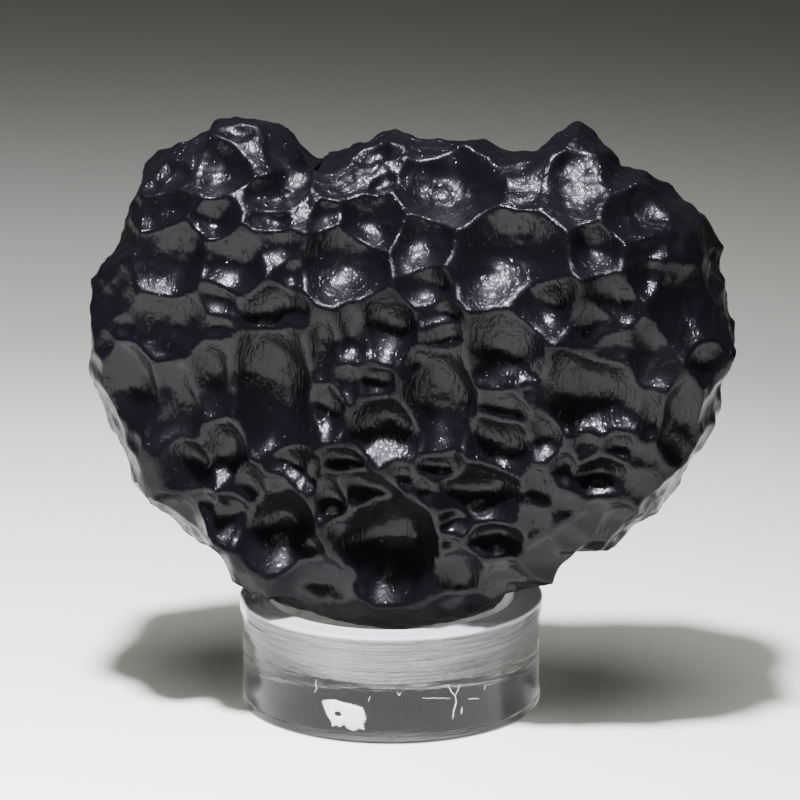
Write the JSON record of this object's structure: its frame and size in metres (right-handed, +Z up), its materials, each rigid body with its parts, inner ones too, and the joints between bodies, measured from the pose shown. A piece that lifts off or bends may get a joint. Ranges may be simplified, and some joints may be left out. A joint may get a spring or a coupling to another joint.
{
  "type": "tektite",
  "caption": "Flattened black natural-glass stone with deeply pitted skin, standing on edge in a low clear round display stand.",
  "frame": {"origin": "centre of the stand's flat underside", "axes": "+Z up out of the stand, +X along the stone's long side, -Y the way the broad pitted face looks"},
  "size_m": [0.064, 0.0338, 0.0588],
  "materials": {
    "tektite_glass": "natural black glass, etched and pitted, glossy",
    "clear_plastic": "clear turned acrylic, seat left satin from the tool, worn and scratched"
  },
  "bodies": {
    "root": {"tektite": "tektite_glass", "display_stand": "clear_plastic"}
  },
  "joints": []
}
